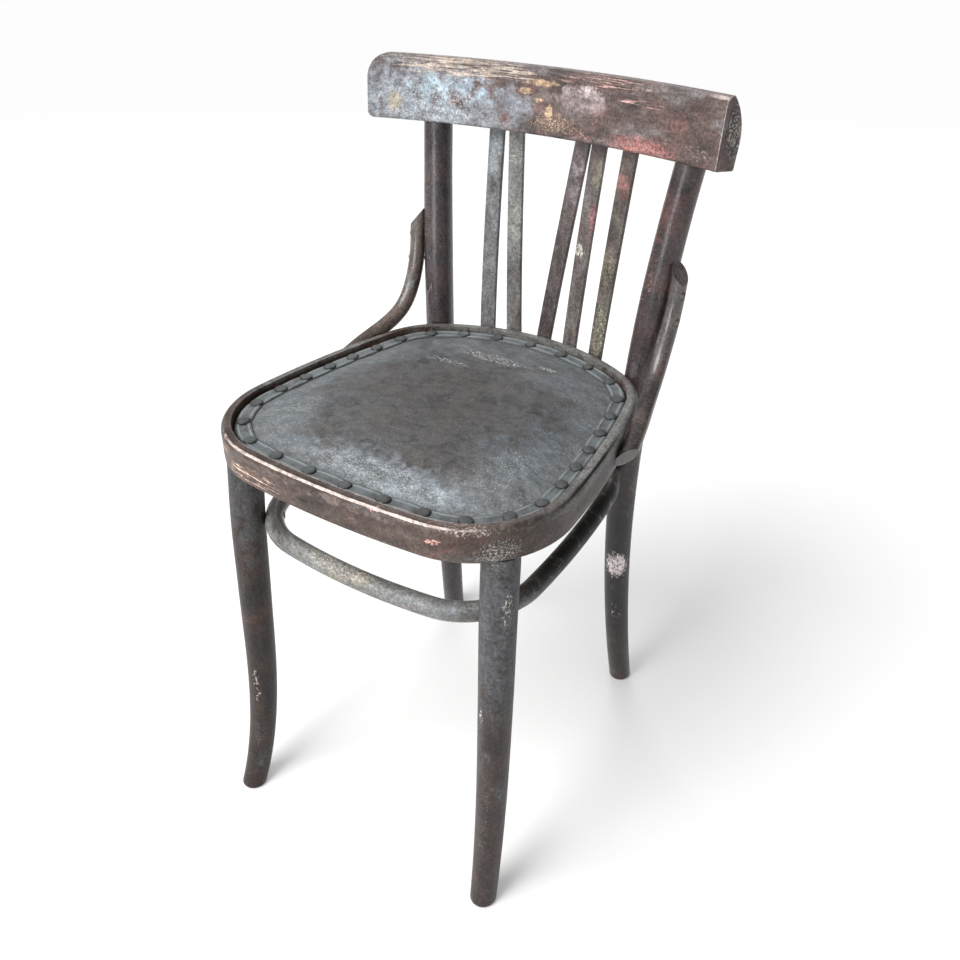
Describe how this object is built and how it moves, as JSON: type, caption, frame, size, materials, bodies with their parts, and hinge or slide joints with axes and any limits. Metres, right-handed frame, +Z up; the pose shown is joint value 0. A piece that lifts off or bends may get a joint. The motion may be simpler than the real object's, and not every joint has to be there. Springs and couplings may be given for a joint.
{
  "type": "bentwood bistro chair",
  "caption": "Bentwood bistro chair with a curved crest rail, thin back slats, side braces, a leg ring and a nailed leather seat.",
  "frame": {"origin": "on the floor, in the middle of the chair's overall length and width", "axes": "+Z up, the sitter faces -Y, +X towards the right of a viewer who looks along +Y"},
  "size_m": [0.4366, 0.4493, 0.7525],
  "materials": {
    "stained_wood": "worn dark stain, satin",
    "plywood": "bare plywood",
    "felt": "pressed felt",
    "leather": "worn, satin",
    "braid": "embossed, satin",
    "nail_heads": "covered dome heads, satin",
    "steel": "dull"
  },
  "bodies": {
    "root": {"seat_ring": "stained_wood", "leg_ring": "stained_wood", "crest_rail": "stained_wood", "front_leg_left": "stained_wood", "front_leg_right": "stained_wood", "back_post_left": "stained_wood", "back_post_right": "stained_wood", "side_brace_left": "stained_wood", "side_brace_right": "stained_wood", "slat_1": "stained_wood", "slat_2": "stained_wood", "slat_3": "stained_wood", "slat_4": "stained_wood", "slat_5": "stained_wood", "seat_panel": "plywood", "seat_padding": "felt", "seat_cover": "leather", "seat_braid": "braid", "braid_nails": "nail_heads", "brace_post_screws": "steel", "brace_seat_screws": "steel", "leg_ring_screws": "steel", "slat_screws": "steel", "seat_screws": "steel", "back_post_bolts": "steel", "back_post_washers": "steel", "back_post_nuts": "steel"}
  },
  "joints": []
}
